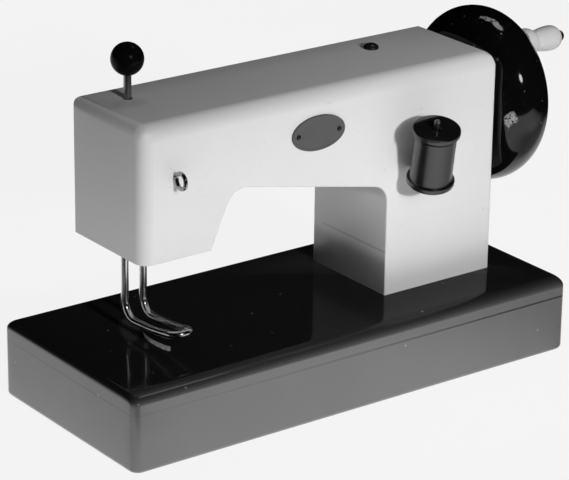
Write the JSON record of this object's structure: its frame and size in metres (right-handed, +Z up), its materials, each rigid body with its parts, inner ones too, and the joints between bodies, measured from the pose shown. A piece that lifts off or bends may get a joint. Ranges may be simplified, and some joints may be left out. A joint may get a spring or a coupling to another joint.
{
  "type": "toy sewing machine",
  "caption": "Wooden toy sewing machine: white arm on a black lacquered base, hand wheel with a turning grip, sliding wire foot with a ball knob, and a loose spool on a hook.",
  "frame": {"origin": "middle of the base's flat underside", "axes": "+X along the base to the hand wheel, +Y to the back, +Z up"},
  "size_m": [0.288, 0.1086, 0.172],
  "materials": {
    "black_lacquer": "gloss black lacquer on wood",
    "white_paint": "semi-gloss off-white paint on wood",
    "white_gloss": "gloss white lacquer on turned wood",
    "bright_wire": "bright plated steel",
    "steel": "plain turned steel",
    "brass": "plain turned brass",
    "black_metal": "gloss black enamel on steel",
    "badge_grey": "grey painted sheet metal, bare"
  },
  "bodies": {
    "machine": {"base_block": "black_lacquer", "base_board": "black_lacquer", "column_screws": "steel", "arm_body": "white_paint", "rear_cover": "white_paint", "cover_screws": "steel", "shaft_bush_head": "brass", "shaft_bush_wheel": "brass", "rod_guide": "brass", "spool_hook": "bright_wire", "thread_eye": "bright_wire", "dome_stud": "black_metal", "badge_plate": "badge_grey", "badge_pins": "black_metal"},
    "wheel": {"hand_wheel": "black_lacquer", "drive_shaft": "steel", "thrust_washer": "steel", "wheel_washer": "steel", "wheel_nut": "bright_wire", "handle_pin": "black_metal", "crank_disc": "steel", "crank_pin": "steel", "crank_screw": "steel"},
    "handle": {"handle_grip": "white_gloss"},
    "needle": {"needle_yoke": "steel", "needle_rod": "bright_wire", "ball_knob": "black_lacquer", "foot_wire": "bright_wire"},
    "reel": {"spool": "black_lacquer"}
  },
  "joints": [
    {"name": "wheel_turn", "type": "hinge", "parent": "machine", "child": "wheel", "pos_m": [0.1209, 0.0111, 0.114], "axis": [1, 0, 0], "continuous": true},
    {"name": "handle_spin", "type": "hinge", "parent": "wheel", "child": "handle", "pos_m": [0.1505, -0.00087, 0.13898], "axis": [1, 0, 0], "continuous": true},
    {"name": "needle_slide", "type": "slide", "parent": "machine", "child": "needle", "axis": [0, 0, 1], "range_m": [-0.0019, 0.008]},
    {"name": "spool_spin", "type": "hinge", "parent": "machine", "child": "reel", "pos_m": [0.0539, -0.034, 0.0931], "axis": [-0.1062, -0.2504, 0.9623], "continuous": true}
  ]
}
